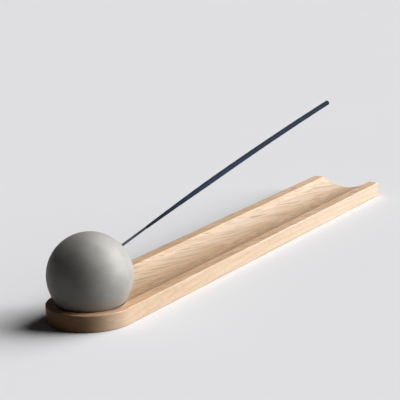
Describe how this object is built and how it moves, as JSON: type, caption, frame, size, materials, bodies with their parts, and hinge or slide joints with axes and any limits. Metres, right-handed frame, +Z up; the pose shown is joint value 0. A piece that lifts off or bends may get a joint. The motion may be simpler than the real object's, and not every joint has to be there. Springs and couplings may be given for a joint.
{
  "type": "incense burner",
  "caption": "Long wooden ash tray with a round end, in which a concrete ball stands and holds an incense stick leaning out over the trough.",
  "frame": {"origin": "centre of the tray's underside, on the surface that it stands on", "axes": "+X along the tray from its round end to its square end, +Y across it, +Z up"},
  "size_m": [0.276, 0.042, 0.0594],
  "materials": {
    "wood": "satin",
    "concrete": "matte",
    "bamboo": "satin",
    "incense": "matte"
  },
  "bodies": {
    "tray": {"tray": "wood"},
    "ball": {"ball": "concrete"},
    "stick": {"stick_core": "bamboo", "stick_paste": "incense"}
  },
  "joints": [
    {"name": "ball_lift", "type": "slide", "parent": "tray", "child": "ball", "axis": [0, 0, 1], "range_m": [0, 0.04]},
    {"name": "stick_pull", "type": "slide", "parent": "ball", "child": "stick", "axis": [0.9848, 0, 0.1736], "range_m": [0, 0.02]}
  ]
}
